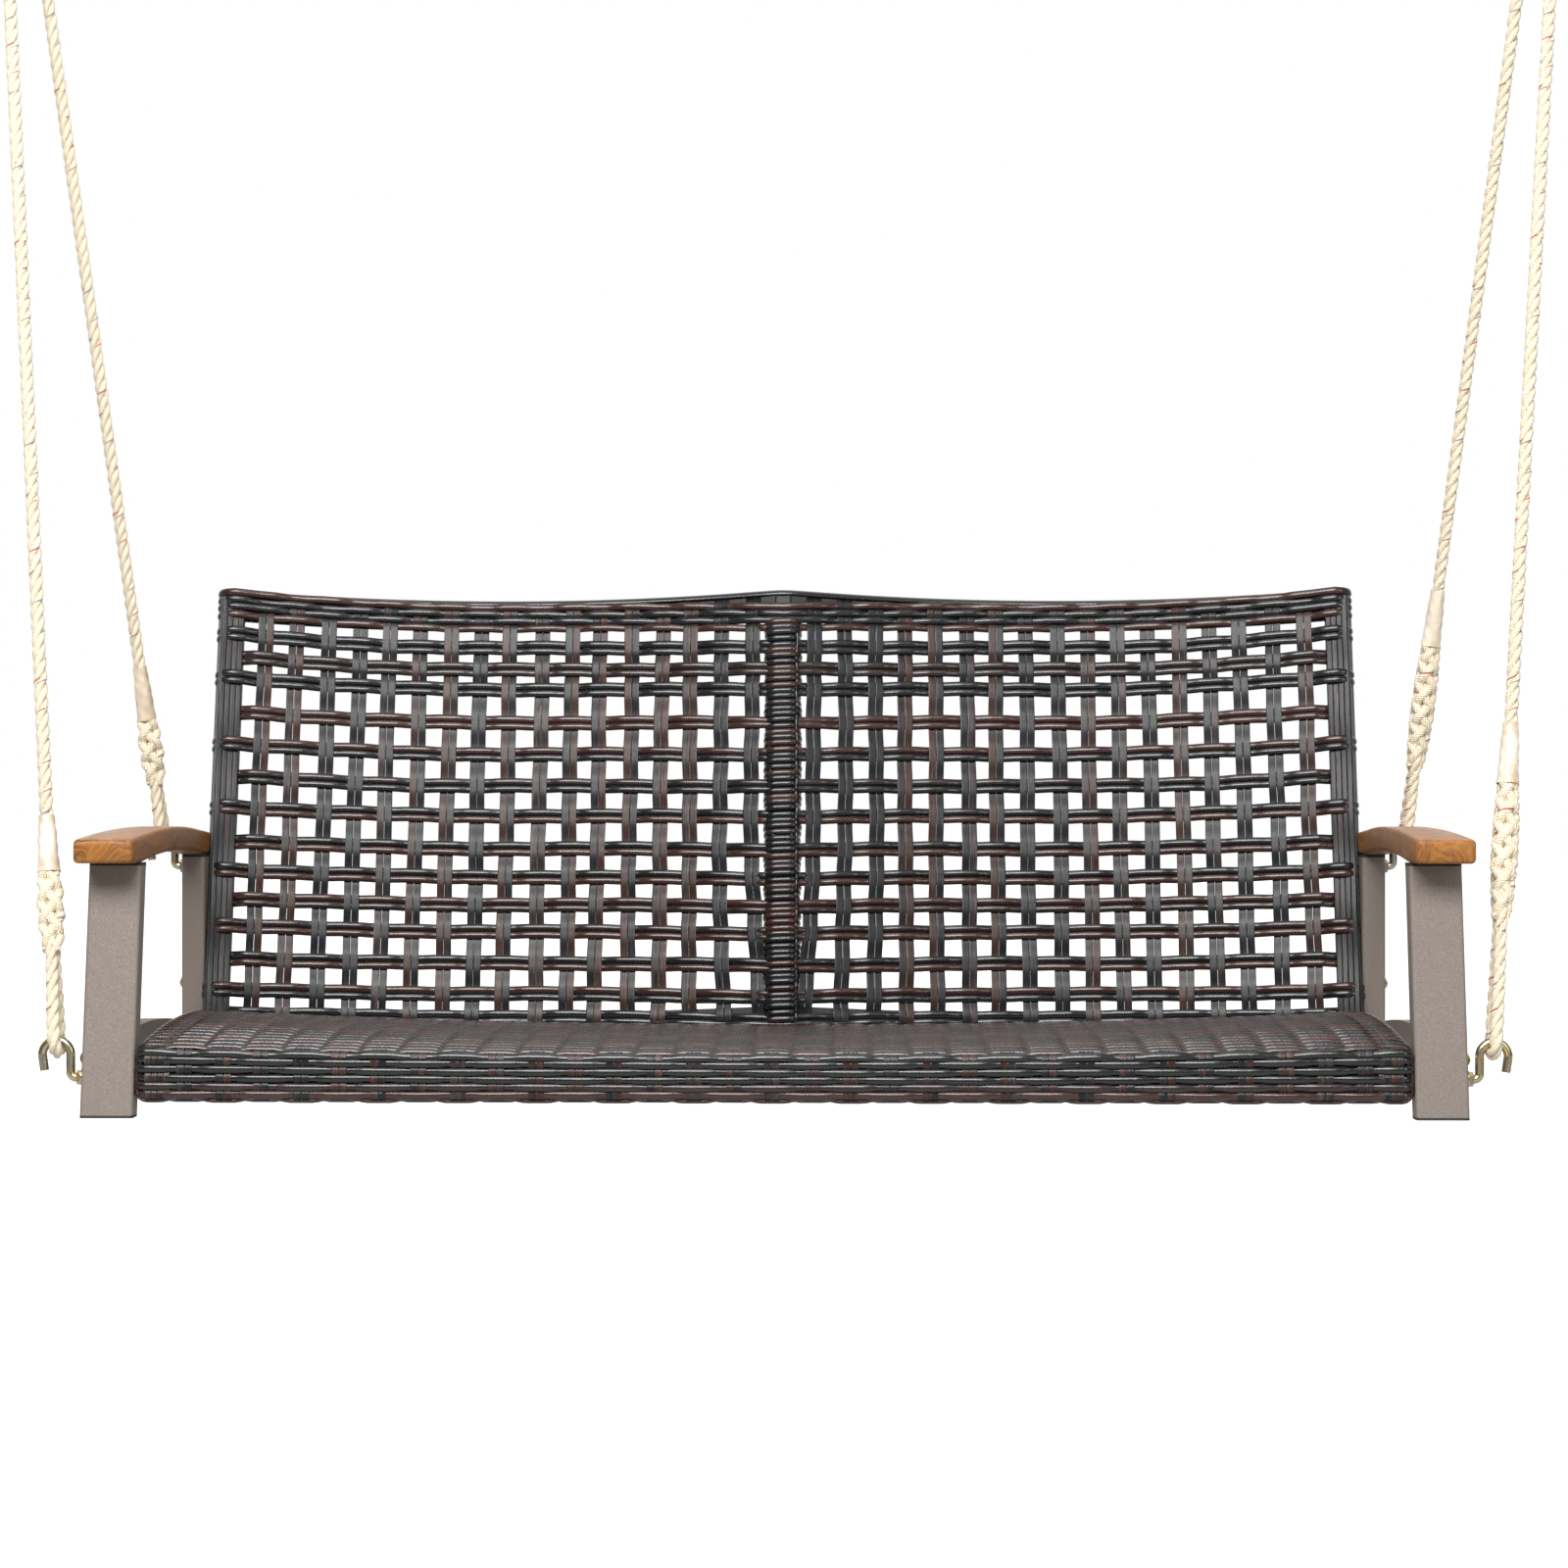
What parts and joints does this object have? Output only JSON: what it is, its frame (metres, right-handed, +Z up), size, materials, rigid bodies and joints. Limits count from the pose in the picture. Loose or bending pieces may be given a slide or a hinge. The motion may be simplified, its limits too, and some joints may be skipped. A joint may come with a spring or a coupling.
{
  "type": "hanging porch swing",
  "caption": "Two-seat porch swing: open-woven curved back, woven seat, arched wooden armrests on steel posts, hung by rope pairs from rings in ceiling hooks.",
  "frame": {"origin": "middle of the swing axis, which runs through the saddles of the two ceiling hooks", "axes": "+X across the bench, to the right seen from the front, which is the sitter's left; +Y towards the back; +Z up; the sitter faces -Y"},
  "size_m": [1.664, 0.653, 1.679],
  "materials": {
    "frame_paint": "fine-textured taupe powder coat",
    "inner_frame": "dark brown powder coat",
    "weave": "mixed black and dark brown resin strand, half gloss",
    "wood": "oiled hardwood",
    "zinc": "yellow zinc plate",
    "hanger_steel": "bright zinc plate",
    "rope": "laid three-strand rope, cream",
    "sleeve": "cloudy shrink tube",
    "plug": "black moulded plug"
  },
  "bodies": {
    "ceiling_hooks": {"ceiling_hook_left": "hanger_steel", "ceiling_hook_right": "hanger_steel"},
    "swing": {"ring_left": "hanger_steel", "ring_right": "hanger_steel", "rope_front_left": "rope", "rope_front_right": "rope", "rope_rear_left": "rope", "rope_rear_right": "rope", "eye_front_left": "rope", "eye_front_right": "rope", "eye_rear_left": "rope", "eye_rear_right": "rope", "top_eye_front_left": "rope", "top_eye_front_right": "rope", "top_eye_rear_left": "rope", "top_eye_rear_right": "rope", "sleeve_front_left": "sleeve", "sleeve_front_right": "sleeve", "sleeve_rear_left": "sleeve", "sleeve_rear_right": "sleeve", "hook_front_left": "zinc", "hook_front_right": "zinc", "hook_rear_left": "zinc", "hook_rear_right": "zinc", "hook_nuts": "zinc", "hook_washers": "zinc", "front_post_left": "frame_paint", "front_post_right": "frame_paint", "rear_post_left": "frame_paint", "rear_post_right": "frame_paint", "foot_plugs": "plug", "post_caps": "plug", "side_rail_left": "frame_paint", "side_rail_right": "frame_paint", "armrest_left": "wood", "armrest_right": "wood", "armrest_screws": "hanger_steel", "seat_front_tube": "inner_frame", "seat_rear_tube": "inner_frame", "seat_side_left": "inner_frame", "seat_side_right": "inner_frame", "seat_supports": "inner_frame", "seat_weave": "weave", "seat_apron": "weave", "seat_bolts": "zinc", "rail_bolts": "zinc", "seat_spacers": "inner_frame", "back_side_left": "inner_frame", "back_side_right": "inner_frame", "back_spine": "inner_frame", "back_top_tube": "inner_frame", "back_bottom_tube": "inner_frame", "back_weave_left": "weave", "back_weave_right": "weave", "back_bolts": "zinc", "back_spacers": "inner_frame"}
  },
  "joints": [
    {"name": "swing_hinge", "type": "hinge", "parent": "ceiling_hooks", "child": "swing", "pos_m": [0, 0, 0], "axis": [1, 0, 0], "range_deg": [-30, 30]}
  ]
}
